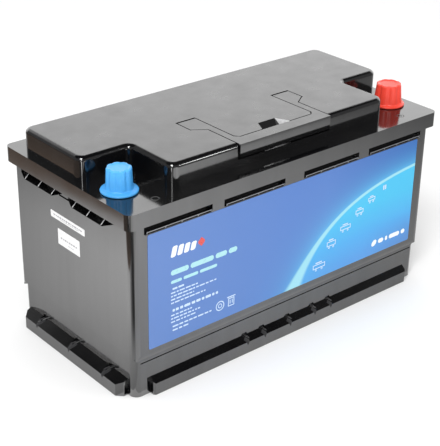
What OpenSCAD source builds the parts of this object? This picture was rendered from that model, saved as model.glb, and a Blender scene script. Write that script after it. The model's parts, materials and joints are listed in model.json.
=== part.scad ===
// Deep cycle leisure battery in a DIN L5 block case, with a fold-down carry handle.
// Axes: X along the length (label side faces -Y, stickered end faces -X), Z up, origin at the
// centre of the base. All sizes are millimetres.

/* [Overall] */
// Length over the hold-down ledges
total_l = 353; // [350:1:356]
// Width over the hold-down ledges
total_w = 175; // [174:1:178]
// Height to the top of the lid platform
total_h = 190; // [190:1:194]

/* [Case] */
// Inset of the upper end walls from the ledge ends
end_inset = 7.25; // [7:0.25:8]
// Inset of the upper long walls from the ledge sides
side_inset = 3.75; // [3.5:0.25:4]
// Inward step of the lower walls
step_in = 2; // [1:0.5:2.5]
// Height of the foot of the sloped step
step_z0 = 33; // [30:1:35]
// Height of the head of the sloped step
step_z1 = 40; // [38:1:42]
// Wall thickness of the lower case
wall_t = 3; // [2.5:0.5:3]
// Vertical corner radius of the case
corner_r = 7; // [5:0.5:8]
// Height of the upper edge of the case
case_top = 163.3; // [163:0.1:163.5]
// Height of the fine groove under the step
groove_z = 31.8; // [30:0.2:32]

/* [Hold-down ledges] */
// Height of the outer face of a ledge
ledge_h = 10.9; // [9:0.1:12]
// Rise of the sloped top from the outer face to the wall
ledge_rise = 4.8; // [3:0.1:6]
// Half length of the long side ledges at their outer face
ledge_half_l = 150; // [140:1:150]
// Half length of the end ledges at their outer face
ledge_half_w = 67.5; // [60:0.5:68]
// Radius of the round head of a locating notch
notch_r = 3.6; // [3:0.1:4]
// Offsets of the outer notches from the middle of a long side
notch_l = [30.2, 50.2];
// Offset of the outer notches from the middle of an end
notch_w = 49.3; // [45:0.1:50]

/* [Grips and slots] */
// Height of the lower lip of the finger grips in the ends
grip_z = 143.4; // [142:0.1:146]
// Places of the first rib of each grip pocket along an end
grip_y = [66, -4.3];
// Spacing of the ribs in a grip pocket
grip_step = 19.7; // [19:0.1:20]
// Height of the lower lip of the slots in the long sides
slot_z = 146.4; // [146.1:0.1:148]
// Depth of the slots
slot_deep = 4.3; // [4:0.1:4.4]
// Places of the short ribs in a slot, from its left end
slot_ribs = [21.3, 37.5, 53.8];

/* [Lid] */
// Height of the flange plane
flange_z = 169; // [169:0.5:169.5]
// Depth of the rim band
rim_h = 13.5; // [13:0.1:14]
// Overhang of the rim beyond the upper end walls
rim_over_l = 5; // [4.8:0.1:5]
// Overhang of the rim beyond the upper long walls
rim_over_w = 3.6; // [3.4:0.1:3.6]
// Thickness of the lid plates
lid_t = 3.5; // [3:0.1:3.5]
// Half length of the platform
plat_x = 168.6; // [166:0.2:169]
// Rear edge of the platform
plat_back = 67.4; // [64:0.2:70]
// Front edge of the platform beside the terminals
plat_mid = -16.4; // [-18:0.2:-14]
// Half length of the central bulge
bulge_x = 120.4; // [118:0.2:122]
// Front edge of the central bulge
bulge_front = -70; // [-70.4:0.2:-69.6]
// Vertical corner radius of the platform
plat_r = 8.5; // [8.4:0.1:10]
// Rounding of the upper edge of the platform
plat_edge = 4.2; // [3.5:0.1:4.2]

/* [Carry handle] */
// Height of the hinge line below the platform top
hinge_drop = 4.3; // [4.2:0.1:4.4]
// Position of the hinge line behind the middle of the lid, towards the back
hinge_y = -13.9; // [-14.2:0.1:-13.6]
// Half reach of a pad each side of the hinge line
pad_reach = 9; // [8.6:0.1:9]
// Inner half width between the arms
arm_in = 44.2; // [43.8:0.1:44.6]
// Outer half width across the arms
arm_out = 50.8; // [50.4:0.1:51.2]
// Outer half width across the hinge pads
pad_out = 63; // [62:0.2:63.4]
// Inner edge of the front bar
bar_in = -59.3; // [-60:0.1:-59]
// Front face of the bar
bar_front = -71.8; // [-72:0.1:-71.4]
// Depth of the front lip of the bar
lip_h = 12.4; // [11:0.1:13]
// Width of the groove round the handle
gap = 1; // [0.8:0.1:1.1]
// Radius of the hinge pins
hinge_pin_r = 2; // [1.8:0.1:2.1]

/* [Terminals] */
// Distance of each terminal from the middle of the length
post_x = 152.2; // [151:0.2:153]
// Position of the terminals across the width
post_y = -46; // [-47:0.2:-45]
// Base radius of the tapered positive post
pos_r = 9.75; // [9.7:0.01:9.8]
// Base radius of the tapered negative post
neg_r = 8.95; // [8.9:0.01:9]
// Height of a post above the flange
post_h = 18; // [17:0.5:18]
// Radius of the disc flange of a cap
cap_disc_r = 15.2; // [14.8:0.1:15.4]
// Height of a cap above the flange
cap_h = 20.4; // [20:0.1:20.6]
// Number of flutes round a cap
cap_flutes = 8; // [6:1:8]

/* [Label] */
// Half length of the front label
label_x = 154; // [150:0.5:155]
// Lower edge of the front label
label_z0 = 43; // [42:0.5:45]
// Upper edge of the front label
label_z1 = 146; // [140:0.5:147]

/* [Cells] */
// Length of a cell
cell_l = 200; // [195:1:200]
// Thickness of a cell
cell_t = 36.2; // [35:0.1:36.2]
// Height of a cell lying on its edge
cell_h = 130; // [125:1:130]
// Pitch of the cells across the width
cell_pitch = 37.2; // [37:0.1:37.2]

/* [Hidden] */
eps = 0.01;
upper_x = total_l / 2 - end_inset;
upper_y = total_w / 2 - side_inset;
lower_x = upper_x - step_in;
lower_y = upper_y - step_in;
cav_x = lower_x - wall_t;
cav_y = lower_y - wall_t;
floor_t = 3.5;
rim_x = upper_x + rim_over_l;
rim_y = upper_y + rim_over_w;
rim_z = flange_z - rim_h;
skirt_t = 3;
plate_z = flange_z - 4;
hinge_z = total_h - hinge_drop;
swing_r = sqrt(pow(pad_reach, 2) + pow(hinge_drop, 2));
pad_back = hinge_y + pad_reach;
pad_front = hinge_y - pad_reach;
well_z = hinge_z - swing_r - 0.6;
lip_z = total_h - lip_h;
lip_t = 4;
bar_t = 4.5;
cell_x0 = -152;
cell_x1 = cell_x0 + cell_l;
cell_z0 = floor_t + 2;
bms_x = 66;
lead_z = 153;
lead_r = 3.6;
low_z = cell_z0 + cell_h / 2 - 38;
cell_y = 1.5 * cell_pitch;
lug_x = cell_x1 + 2.5 + lead_r + 1;
collar_r = 10.5;
black = [0.09, 0.09, 0.10];
copper = [0.72, 0.45, 0.25];

// Rectangle with rounded corners, centred.
module rrect(l, w, r) {
    square([l - 2 * r, w], center = true);
    square([l, w - 2 * r], center = true);
    for (sx = [-1, 1], sy = [-1, 1])
        translate([sx * (l / 2 - r), sy * (w / 2 - r)]) circle(r = r, $fn = 48);
}

// Rounded rectangle between two x and two y limits.
module rrect_at(x0, x1, y0, y1, r) {
    translate([(x0 + x1) / 2, (y0 + y1) / 2]) rrect(x1 - x0, y1 - y0, r);
}

// Box between limits.
module span(x0, x1, y0, y1, z0, z1) {
    translate([x0, y0, z0]) cube([x1 - x0, y1 - y0, z1 - z0]);
}

// Extrusion along X of an outline drawn in Y and Z.
module along_x(x0, x1) {
    translate([x0, 0, 0]) rotate([90, 0, 90]) linear_extrude(x1 - x0) children();
}

// Extrusion along Y of an outline drawn in X and Z.
module along_y(y0, y1) {
    translate([0, y1, 0]) rotate([90, 0, 0]) linear_extrude(y1 - y0) children();
}

// Profile with both upper corners rounded.
module top_round(u0, u1, z0, z1, r) {
    translate([u0, z0]) square([u1 - u0, z1 - z0 - r]);
    translate([u0 + r, z0]) square([u1 - u0 - 2 * r, z1 - z0]);
    for (u = [u0 + r, u1 - r]) translate([u, z1 - r]) circle(r = r, $fn = 48);
}

// Block with rounded vertical corners of radius rv and an upper edge rounded by re all round.
module soft_block(x0, x1, y0, y1, z0, z1, rv, re) {
    along_y(y0 + rv, y1 - rv) top_round(x0, x1, z0, z1, re);
    along_x(x0 + rv, x1 - rv) top_round(y0, y1, z0, z1, re);
    for (x = [x0 + rv, x1 - rv], y = [y0 + rv, y1 - rv])
        translate([x, y, 0]) rotate_extrude($fn = 96) {
            translate([0, z0]) square([rv, z1 - z0 - re]);
            translate([0, z0]) square([rv - re, z1 - z0]);
            translate([rv - re, z1 - re]) circle(r = re, $fn = 48);
        }
}

// Filling of the inside corner at (x, y): walls meet over radius rc, the upper edge keeps its rounding re.
module inside_corner(x, y, z0, z1, rc, re) {
    difference() {
        span(x - rc, x + re, y - rc, y + re, z0, z1);
        translate([x - rc, y - rc, 0]) rotate_extrude($fn = 96) difference() {
            translate([0, z0 - 1]) square([rc + re, z1 - z0 + 2]);
            translate([rc, z0 - 2]) square([re + 1, z1 - z0 - re + 2]);
            translate([rc + re, z1 - re]) circle(r = re, $fn = 48);
        }
    }
}

// Straight round rod from one point to another.
module rod(p, q, r) {
    d = q - p;
    len = norm(d);
    translate(p) rotate([0, acos(d[2] / len), atan2(d[1], d[0])]) cylinder(r = r, h = len, $fn = 24);
}

// Quarter bend at corner p, from direction a to direction b, both along axes.
module bend(p, a, b, r, rb) {
    c = p - rb * a + rb * b;
    w = cross(-b, a);
    multmatrix([[-b[0], a[0], w[0], c[0]], [-b[1], a[1], w[1], c[1]], [-b[2], a[2], w[2], c[2]],
        [0, 0, 0, 1]])
        rotate_extrude(angle = 90, $fn = 48) translate([rb, 0]) circle(r = r, $fn = 32);
}

// Round lead with axis-aligned runs and quarter bends of radius rb.
module lead(pts, r, rb) {
    n = len(pts);
    for (i = [0:n - 2]) {
        d = (pts[i + 1] - pts[i]) / norm(pts[i + 1] - pts[i]);
        rod(pts[i] + (i > 0 ? rb : 0) * d, pts[i + 1] - (i < n - 2 ? rb : 0) * d, r);
        if (i < n - 2) bend(pts[i + 1], d, (pts[i + 2] - pts[i + 1]) / norm(pts[i + 2] - pts[i + 1]), r, rb);
    }
}

// Ledge along the wall at y = -wall, centred on x = 0, with chamfered and hollow ends.
module ledge(wall, out, half, cut) {
    d = out - wall;
    difference() {
        intersection() {
            along_x(-half - d, half + d) polygon([[-out, 0], [-wall + 1, 0],
                [-wall + 1, ledge_h + ledge_rise], [-wall, ledge_h + ledge_rise], [-out, ledge_h]]);
            translate([0, 0, -1]) linear_extrude(ledge_h + ledge_rise + 2)
                polygon([[-half, -out], [half, -out], [half + cut, -out + cut],
                    [half + cut, -wall + 1], [-half - cut, -wall + 1], [-half - cut, -out + cut]]);
        }
        for (s = [-1, 1]) translate([s * (half + cut), 0, 0])
            span(-3.5, 3.5, -out + cut + 0.5, -wall - 0.2, 1.2, ledge_h - 0.8);
    }
}

// Cutter for one locating notch, through the ledge top and a little way into the wall.
module notch(wall, out) {
    z = ledge_h + ledge_rise - 1;
    along_y(-out - 1, -wall + 1) {
        translate([0, z]) circle(r = notch_r, $fn = 32);
        polygon([[-notch_r, z], [notch_r, z], [0, z - 7]]);
    }
}

// Pocket of a finger grip under the rim of one end. Its first rib stands at y, the others toward -Y.
module grip_pocket(y) {
    z1 = 158;
    intersection() {
        along_y(y - 60, y + 7) polygon([[-upper_x - 1, grip_z], [-upper_x, grip_z],
            [-upper_x + 6.4, grip_z + 1.6], [-upper_x + 6.4, z1], [-upper_x - 1, z1]]);
        along_x(-upper_x - 2, -upper_x + 9) polygon([[y + 1.2, grip_z - 1], [y - 41, grip_z - 1],
            [y - 41, grip_z], [y - 58, grip_z + 8], [y - 58, z1], [y + 5.2, z1],
            [y + 5.2, grip_z + 4.9], [y + 1.2, grip_z]]);
    }
}

// Three thin ribs across a grip pocket, their outer edges sloping up and inward.
module grip_ribs(y) {
    for (i = [0:2])
        along_y(y - i * grip_step - 0.5, y - i * grip_step + 0.5)
            polygon([[-upper_x + 0.2, grip_z - 1], [-upper_x + 0.2, grip_z + 0.5],
                [-upper_x + 6.8, grip_z + 6.6], [-upper_x + 6.8, grip_z - 1]]);
}

module end_grip() {
    for (y = grip_y) grip_pocket(y);
    span(-upper_x - 1, -upper_x + 1.4, -6, 14, 147.6, 149.2);
}

// Shallow slot under the rim of a long side: a fin runs along it, with short ribs below the fin.
module side_slot(x0, x1) {
    along_y(-upper_y - 1, -upper_y + slot_deep) rrect_at(x0, x1, slot_z, 158.4, 1.6);
}

module side_slot_fins(x0, x1) {
    span(x0 + 3, x1 + 1, -upper_y + 0.6, -upper_y + slot_deep + 0.5, slot_z + 1.2, slot_z + 1.9);
    span(x0 + 3, x0 + 3.8, -upper_y + 0.6, -upper_y + slot_deep + 0.5, slot_z - 0.5, slot_z + 1.9);
    for (x = slot_ribs)
        span(x0 + x - 0.45, x0 + x + 0.45, -upper_y + 0.6, -upper_y + slot_deep + 0.5,
            slot_z - 0.5, slot_z + 1.4);
}

module case_body() {
    linear_extrude(step_z0 + 2) rrect(2 * lower_x, 2 * lower_y, corner_r);
    intersection() {
        translate([0, 0, step_z0]) linear_extrude(case_top - step_z0)
            rrect(2 * upper_x, 2 * upper_y, corner_r);
        along_x(-total_l, total_l) polygon([[-lower_y, step_z0], [lower_y, step_z0],
            [upper_y, step_z1], [upper_y, case_top + 1], [-upper_y, case_top + 1], [-upper_y, step_z1]]);
        along_y(-total_w, total_w) polygon([[-lower_x, step_z0], [lower_x, step_z0],
            [upper_x, step_z1], [upper_x, case_top + 1], [-upper_x, case_top + 1], [-upper_x, step_z1]]);
    }
    for (a = [0, 180]) rotate([0, 0, a]) ledge(lower_y, total_w / 2, ledge_half_l, 1.6);
    for (a = [90, -90]) rotate([0, 0, a]) ledge(lower_x, total_l / 2, ledge_half_w, 5);
}

module case() {
    slots = [[-157.2, -89.4], [-77.2, -10.8], [10.8, 77.2], [89.4, 157.2]];
    color(black) {
        difference() {
            case_body();
            difference() {
                translate([0, 0, floor_t]) linear_extrude(case_top) rrect(2 * cav_x, 2 * cav_y, 3);
                for (m = [0, 1]) mirror([m, 0, 0])
                    along_y(-75, 75) polygon([[-cav_x - 1, 137.5], [-cav_x, 137.5], [-upper_x + 8.4, 142.5],
                        [-upper_x + 8.4, 159.9], [-cav_x - 1, 159.9]]);
                for (m = [0, 1]) mirror([0, m, 0])
                    along_x(-161, 161) polygon([[-cav_y - 1, 139], [-cav_y, 139], [-cav_y + 1.7, 141.5],
                        [-cav_y + 1.7, 159.9], [-cav_y - 1, 159.9]]);
            }
            for (m = [0, 1]) mirror([m, 0, 0]) end_grip();
            for (a = [0, 180]) rotate([0, 0, a]) {
                for (s = slots) side_slot(s[0], s[1]);
                for (x = [-notch_l[1], -notch_l[0], 0, notch_l[0], notch_l[1]])
                    translate([x, 0, 0]) notch(lower_y, total_w / 2);
                span(-161, 161, -lower_y - 1, -lower_y + 0.8, groove_z - 1, groove_z);
            }
            for (a = [90, -90]) rotate([0, 0, a]) for (y = [-notch_w, 0, notch_w])
                translate([y, 0, 0]) notch(lower_x, total_l / 2);
        }
        for (m = [0, 1], y = grip_y) mirror([m, 0, 0]) grip_ribs(y);
        for (a = [0, 180], s = slots) rotate([0, 0, a]) side_slot_fins(s[0], s[1]);
    }
}

// Plan outline of the finger scoop behind the handle bar.
module finger_plan(g) {
    polygon([[-9.4 - g, -46.2 + g], [9.4 + g, -46.2 + g], [19.6 + g, -66.6 - g], [-19.6 - g, -66.6 - g]]);
}

module finger_profile(g) {
    polygon([[-46.2 + g, total_h + 1], [-46.2 + g, total_h - g / 2], [-60 + g, 173.6 - g],
        [-66.6 - g, 172.4 - g], [-66.6 - g, total_h + 1]]);
}

module finger_scoop(g, top) {
    intersection() {
        translate([0, 0, 160]) linear_extrude(top - 160) finger_plan(g);
        along_x(-30, 30) finger_profile(g);
    }
}

// Right half of the handle outline in plan, grown by g.
module handle_half(g) {
    front = bar_front - (g > 0 ? 5 : 0);
    polygon([[arm_in - g, pad_back + g], [pad_out + g, pad_back + g], [pad_out + g, pad_front - g * 0.4],
        [arm_out + g, pad_front - 8.4 - g * 0.4], [arm_out + g, front], [0, front],
        [0, bar_in + g], [arm_in - 4, bar_in + g], [arm_in - g, bar_in + 4 + g]]);
}

module handle_recess() {
    for (m = [0, 1]) mirror([m, 0, 0]) {
        translate([0, 0, hinge_z - hinge_drop - 0.6]) linear_extrude(20) intersection() {
            handle_half(gap);
            translate([30, pad_front - 9]) square([40, 40]);
        }
        translate([0, 0, total_h - bar_t - 2]) linear_extrude(20) handle_half(gap);
        span(arm_in - gap, pad_out + gap, hinge_y - swing_r - 0.4, pad_back + gap, well_z, total_h + 1);
    }
    span(-arm_out - gap, arm_out + gap, bar_front - 6, -66.6, lip_z - 1.8, total_h + 1);
    finger_scoop(0, total_h + 1);
}

module lid_housings() {
    t = 2.4;
    for (m = [0, 1]) mirror([m, 0, 0]) {
        span(arm_in - gap - t, pad_out + gap + t, hinge_y - swing_r - t, pad_back + gap + t,
            well_z - t, total_h - 2);
        span(arm_in - gap - t, pad_out + gap + t, -36, hinge_y, 178.4, total_h - 2);
        span(arm_in - gap - t, arm_out + gap + t, -66, -30, 178.4, total_h - 2);
    }
    span(-arm_out - gap - t, arm_out + gap + t, -68, bar_in - 1, 180.6, total_h - 2);
    span(-arm_out - gap - t, arm_out + gap + t, -68, -66.6 + t, lip_z - 1.8 - t, total_h - 2);
    finger_scoop(t, total_h - 1);
}

module lid() {
    color(black) difference() {
        union() {
            difference() {
                union() {
                    translate([0, 0, rim_z]) linear_extrude(rim_h) rrect(2 * rim_x, 2 * rim_y, 6);
                    soft_block(-plat_x, plat_x, plat_mid, plat_back, flange_z - 1, total_h,
                        plat_r, plat_edge);
                    soft_block(-bulge_x, bulge_x, bulge_front, 0, flange_z - 1, total_h,
                        plat_r, plat_edge);
                    for (m = [0, 1]) mirror([m, 0, 0])
                        inside_corner(-bulge_x, plat_mid, flange_z - 1, total_h, 5, plat_edge);
                }
                translate([0, 0, rim_z - 1]) linear_extrude(plate_z - rim_z + 1)
                    rrect(2 * rim_x - 2 * skirt_t, 2 * rim_y - 2 * skirt_t, 4);
                translate([0, 0, plate_z - 1]) linear_extrude(total_h - lid_t - plate_z + 1) {
                    rrect_at(-plat_x + lid_t, plat_x - lid_t, plat_mid + lid_t, plat_back - lid_t, 3);
                    rrect_at(-bulge_x + lid_t, bulge_x - lid_t, bulge_front + lid_t, 10, 3);
                }
            }
            lid_housings();
            for (s = [-1, 1]) translate([s * post_x, post_y, plate_z - 4])
                cylinder(r = collar_r + 1.4, h = 6, $fn = 64);
        }
        handle_recess();
        for (s = [-1, 1]) translate([s * (arm_in - gap - 2.5), hinge_y, hinge_z])
            rotate([0, s * 90, 0]) cylinder(r = hinge_pin_r + 0.02, h = 26, $fn = 40);
        for (s = [[-1, neg_r], [1, pos_r]]) translate([s[0] * post_x, post_y, plate_z - 10]) {
            cylinder(r = s[1] + 0.8, h = 14 + eps, $fn = 64);
            cylinder(r = collar_r + 0.3, h = 8.4, $fn = 64);
        }
        for (s = [-1, 1]) translate([s * 138.8, -74, flange_z - 0.5])
            cylinder(r = 3.6, h = 1, $fn = 40);
    }
    color(black) for (s = [-1, 1]) translate([s * 138.8, -74, flange_z - 0.6]) {
        difference() {
            cylinder(r = 2.9, h = 0.6, $fn = 40);
            translate([0, 0, 0.3]) {
                translate([-1.9, -0.35, 0]) cube([3.8, 0.7, 1]);
                if (s > 0) translate([-0.35, -1.9, 0]) cube([0.7, 3.8, 1]);
            }
        }
    }
}

module lid_seal() {
    color([0.05, 0.05, 0.05]) translate([0, 0, case_top]) linear_extrude(plate_z - case_top) difference() {
        rrect(2 * upper_x - 1, 2 * upper_y - 1, corner_r - 0.5);
        rrect(2 * cav_x + 1.6, 2 * cav_y + 1.6, 3);
    }
}

module carry_handle() {
    color(black) difference() {
        union() {
            for (m = [0, 1]) mirror([m, 0, 0]) {
                translate([0, 0, hinge_z - hinge_drop]) linear_extrude(2 * hinge_drop) intersection() {
                    handle_half(0);
                    translate([30, pad_front - 8]) square([40, 40]);
                }
                translate([0, 0, total_h - bar_t - 1.2]) linear_extrude(bar_t + 1.2) intersection() {
                    handle_half(0);
                    translate([30, -80]) square([40, 80]);
                }
                translate([0, 0, total_h - bar_t]) linear_extrude(bar_t) intersection() {
                    handle_half(0);
                    translate([-1, -80]) square([60, 80]);
                }
            }
            along_x(-arm_out, arm_out) polygon([[bar_front, total_h - 0.8], [bar_front + 0.8, total_h],
                [bar_front + lip_t + 2, total_h], [bar_front + lip_t + 2, total_h - bar_t],
                [bar_front + lip_t, total_h - bar_t - 2], [bar_front + lip_t, lip_z],
                [bar_front + 0.8, lip_z], [bar_front, lip_z + 5]]);
        }
        for (m = [0, 1]) mirror([m, 0, 0]) {
            translate([arm_in - 1, hinge_y, hinge_z]) rotate([0, 90, 0])
                cylinder(r = hinge_pin_r + 0.06, h = 24, $fn = 40);
            for (z = [-1, 1]) translate([arm_in - 1, pad_back, hinge_z + z * hinge_drop])
                rotate([45, 0, 0]) translate([0, -0.7, -0.7]) cube([24, 1.4, 1.4]);
            span(arm_in - 1, pad_out + 1, pad_front - 9, pad_front, hinge_z - hinge_drop - 1,
                total_h - bar_t - 1.2);
        }
        span(-arm_out - 1, arm_out + 1, bar_front - 1, bar_front + 0.8, total_h, total_h + 1);
    }
}

module hinge_pins() {
    color([0.75, 0.76, 0.78]) for (s = [-1, 1])
        translate([s * (arm_in - gap - 2.3), hinge_y, hinge_z]) rotate([0, s * 90, 0])
            cylinder(r = hinge_pin_r, h = pad_out - arm_in + 2 * gap + 4.4, $fn = 40);
}

// Tapered terminal post on a collar, with a threaded stub core under the lid.
module post(r, s) {
    color([0.80, 0.68, 0.36]) translate([s * post_x, post_y, 0]) difference() {
        union() {
            translate([0, 0, flange_z]) cylinder(r1 = r, r2 = r - post_h / 18, h = post_h, $fn = 64);
            translate([0, 0, plate_z - 2]) cylinder(r = r, h = flange_z - plate_z + 2 + eps, $fn = 64);
            translate([0, 0, plate_z - 5]) cylinder(r = collar_r, h = 3 + eps, $fn = 64);
            translate([0, 0, plate_z - 8]) cylinder(r = 8, h = 3 + eps, $fn = 64);
        }
        translate([0, 0, plate_z - 9]) cylinder(r = 3.03, h = 16, $fn = 32);
    }
}

module negative_post() post(neg_r, -1);
module positive_post() post(pos_r, 1);

module post_seals() {
    color([0.05, 0.05, 0.05]) for (s = [[-1, neg_r], [1, pos_r]])
        translate([s[0] * post_x, post_y, flange_z - 3]) difference() {
            cylinder(r = s[1] + 0.75, h = 2.6, $fn = 64);
            translate([0, 0, -1]) cylinder(r = s[1] + 0.02, h = 5, $fn = 64);
        }
}

// Fluted protective cap standing over a post.
module cap(s, r, base_r, top_r, tint) {
    z0 = 0.35;
    color(tint) translate([s * post_x, post_y, flange_z]) difference() {
        union() {
            translate([0, 0, z0]) cylinder(r = cap_disc_r, h = 1.4, $fn = 72);
            translate([0, 0, z0 + 1.4]) cylinder(r1 = cap_disc_r, r2 = cap_disc_r - 1.6, h = 0.7, $fn = 72);
            translate([0, 0, z0]) cylinder(r1 = base_r, r2 = top_r, h = cap_h - z0 - 1.2, $fn = 72);
            translate([0, 0, cap_h - 1.2]) cylinder(r1 = top_r, r2 = top_r - 1.2, h = 1.2, $fn = 72);
        }
        translate([0, 0, -0.2])
            cylinder(r1 = r + 0.4, r2 = r + 0.4 - post_h / 18, h = post_h + 0.5, $fn = 64);
        for (i = [0:cap_flutes - 1]) rotate([0, 0, (i + 0.5) * 360 / cap_flutes])
            translate([base_r + 1.15, 0, 3.4]) rotate([0, -atan((base_r - top_r) / cap_h), 0])
                cylinder(r = 2.1, h = cap_h, $fn = 32);
    }
}

module negative_cap() cap(-1, neg_r, 10.6, 9.8, [0.30, 0.70, 0.95]);
module positive_cap() cap(1, pos_r, 12.6, 11, [0.95, 0.35, 0.30]);

module front_label() {
    color([0.42, 0.58, 0.88]) along_y(-upper_y - 0.2, -upper_y)
        rrect_at(-label_x, label_x, label_z0, label_z1, 1.5);
}

module end_strip_sticker() {
    color([0.95, 0.95, 0.95]) along_x(-upper_x - 0.15, -upper_x) rrect_at(-21.2, 27.8, 124.3, 130.4, 0.8);
}

module end_square_sticker() {
    color([0.95, 0.95, 0.95]) along_x(-upper_x - 0.15, -upper_x) rrect_at(-13.2, 18.3, 102.4, 116.8, 0.6);
}

module base_pad() {
    color([0.20, 0.20, 0.22]) span(cell_x0 - 4, cell_x1 + 4, -75, 75, floor_t, cell_z0);
}

// Prismatic cell on its edge with its two terminals and vent on the +X face.
module cell(i) {
    y = (i - 2.5) * cell_pitch;
    up = (i % 2 == 1) ? 1 : -1;
    zc = cell_z0 + cell_h / 2;
    color([0.20, 0.33, 0.62]) along_x(cell_x0, cell_x1)
        rrect_at(y - cell_t / 2, y + cell_t / 2, cell_z0, cell_z0 + cell_h, 3);
    for (s = [-1, 1]) color(s == up ? [0.80, 0.80, 0.82] : [0.70, 0.50, 0.35])
        translate([cell_x1 - eps, y, zc + s * 38]) rotate([0, 90, 0]) {
            cylinder(r = 8.5, h = 2.5 + eps, $fn = 40);
            cylinder(r = 3, h = 11, $fn = 32);
        }
    color([0.75, 0.76, 0.78]) translate([cell_x1 - eps, y, zc]) rotate([0, 90, 0])
        cylinder(r = 6, h = 0.8, $fn = 40);
}

module cell_1() cell(1);
module cell_2() cell(2);
module cell_3() cell(3);
module cell_4() cell(4);

module cell_spacers() {
    half = (cell_pitch - cell_t) / 2;
    color([0.85, 0.86, 0.80]) for (i = [-1, 0, 1])
        span(cell_x0 + 3, cell_x1 - 3, i * cell_pitch - half, i * cell_pitch + half,
            cell_z0 + 3, cell_z0 + cell_h - 3);
}

module end_plates() {
    y0 = 1.5 * cell_pitch + cell_t / 2;
    color([0.75, 0.76, 0.78]) for (m = [0, 1]) mirror([0, m, 0])
        span(cell_x0, cell_x1, y0, y0 + 1.8, cell_z0 + 1, cell_z0 + cell_h - 1);
}

module cell_straps() {
    y0 = 1.5 * cell_pitch + cell_t / 2 + 1.8;
    z0 = cell_z0;
    z1 = cell_z0 + cell_h;
    color([0.55, 0.56, 0.58]) for (x = [cell_x0 + 40, cell_x1 - 55]) translate([x, 0, 0]) {
        span(0, 15, y0, y0 + 0.6, z0 - 0.6, z1 + 0.6);
        span(0, 15, -y0 - 0.6, -y0, z0 - 0.6, z1 + 0.6);
        span(0, 15, -y0 - 0.6, y0 + 0.6, z1, z1 + 0.6);
    }
}

// Three bars joining neighbouring cells in series.
module series_busbars() {
    zc = cell_z0 + cell_h / 2;
    color(copper) for (i = [1:3]) {
        s = (i % 2 == 1) ? 1 : -1;
        difference() {
            along_x(cell_x1 + 2.5, cell_x1 + 4.5)
                rrect_at((i - 2.5) * cell_pitch - 9, (i - 1.5) * cell_pitch + 9,
                    zc + s * 38 - 9, zc + s * 38 + 9, 3);
            for (k = [0, 1]) translate([cell_x1, (i - 2.5 + k) * cell_pitch, zc + s * 38]) rotate([0, 90, 0])
                cylinder(r = 3.1, h = 10, $fn = 32);
        }
    }
}

module busbar_nuts() {
    zc = cell_z0 + cell_h / 2;
    color([0.78, 0.79, 0.80]) for (i = [1:3], k = [0, 1]) {
        s = (i % 2 == 1) ? 1 : -1;
        translate([cell_x1 + 4.5, (i - 2.5 + k) * cell_pitch, zc + s * 38]) rotate([0, 90, 0]) difference() {
            cylinder(r = 5.4, h = 5, $fn = 6);
            translate([0, 0, -1]) cylinder(r = 3.05, h = 8, $fn = 32);
        }
    }
    for (y = [-1.5, 1.5]) color([0.78, 0.79, 0.80])
        translate([cell_x1 + 4.5, y * cell_pitch, low_z]) rotate([0, 90, 0]) difference() {
            cylinder(r = 5.4, h = 5, $fn = 6);
            translate([0, 0, -1]) cylinder(r = 3.05, h = 8, $fn = 32);
        }
}

// Folded plate that carries the battery management board.
module bms_bracket() {
    color([0.66, 0.67, 0.69]) difference() {
        union() {
            span(bms_x, bms_x + 1.5, -70, 70, floor_t, 128);
            span(bms_x, bms_x + 24, -70, 70, floor_t, floor_t + 1.5);
        }
        for (y = [-54, 54], z = [24, 112]) translate([bms_x - 1, y, z]) rotate([0, 90, 0])
            cylinder(r = 1.6, h = 4, $fn = 24);
    }
}

module bms_heat_sink() {
    color([0.70, 0.71, 0.73]) difference() {
        union() {
            span(bms_x + 1.5, bms_x + 5.5, -60, 60, 18, 118);
            for (i = [0:9]) span(bms_x + 5.5 - eps, bms_x + 15, -44 + i * 9.3, -41.6 + i * 9.3, 30, 106);
        }
        for (y = [-54, 54], z = [24, 112]) translate([bms_x, y, z]) rotate([0, 90, 0])
            cylinder(r = 1.6, h = 10, $fn = 24);
    }
}

module bms_board() {
    x0 = bms_x + 22;
    color([0.05, 0.35, 0.20]) difference() {
        span(x0, x0 + 1.6, -58, 58, 20, 116);
        for (y = [-54, 54], z = [24, 112]) translate([x0 - 1, y, z]) rotate([0, 90, 0])
            cylinder(r = 1.6, h = 4, $fn = 24);
    }
    color([0.10, 0.10, 0.11]) for (i = [0:7], k = [0, 1])
        span(x0 + 1.6, x0 + 6, -42 + i * 11, -33.5 + i * 11, 40 + k * 30, 51 + k * 30);
    color([0.92, 0.92, 0.88]) span(x0 + 1.6, x0 + 9, -1, 25, 100, 107);
    color(copper) for (y = [post_y, 43]) span(x0 + 1.6, x0 + 3.2, y - 7, y + 7, 86, 98);
}

module bms_screws() {
    color([0.78, 0.79, 0.80]) for (y = [-54, 54], z = [24, 112]) {
        translate([bms_x - 2.2, y, z]) rotate([0, 90, 0]) cylinder(r = 3, h = 2.2, $fn = 32);
        translate([bms_x - eps, y, z]) rotate([0, 90, 0]) cylinder(r = 1.55, h = 26, $fn = 24);
        translate([bms_x + 5.5, y, z]) rotate([0, 90, 0]) difference() {
            cylinder(r = 3.4, h = 16.5, $fn = 32);
            translate([0, 0, -1]) cylinder(r = 1.5, h = 20, $fn = 24);
        }
    }
}

module balance_harness() {
    x0 = bms_x + 22;
    color([0.85, 0.25, 0.20]) for (i = [0:4]) {
        y = (i - 2) * cell_pitch * 0.8;
        z = 139 + i * 2.2;
        x = x0 + 10.6 + i * 2.1;
        lead([[cell_x1 + 11.4, y, 118], [cell_x1 + 11.4, y, z], [x, y, z], [x, 4 + i * 4, z],
            [x, 4 + i * 4, 104]], 0.9, 4);
    }
    color([0.92, 0.92, 0.88]) span(x0 + 9, x0 + 21, 0, 24, 100.5, 106.5);
}

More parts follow.
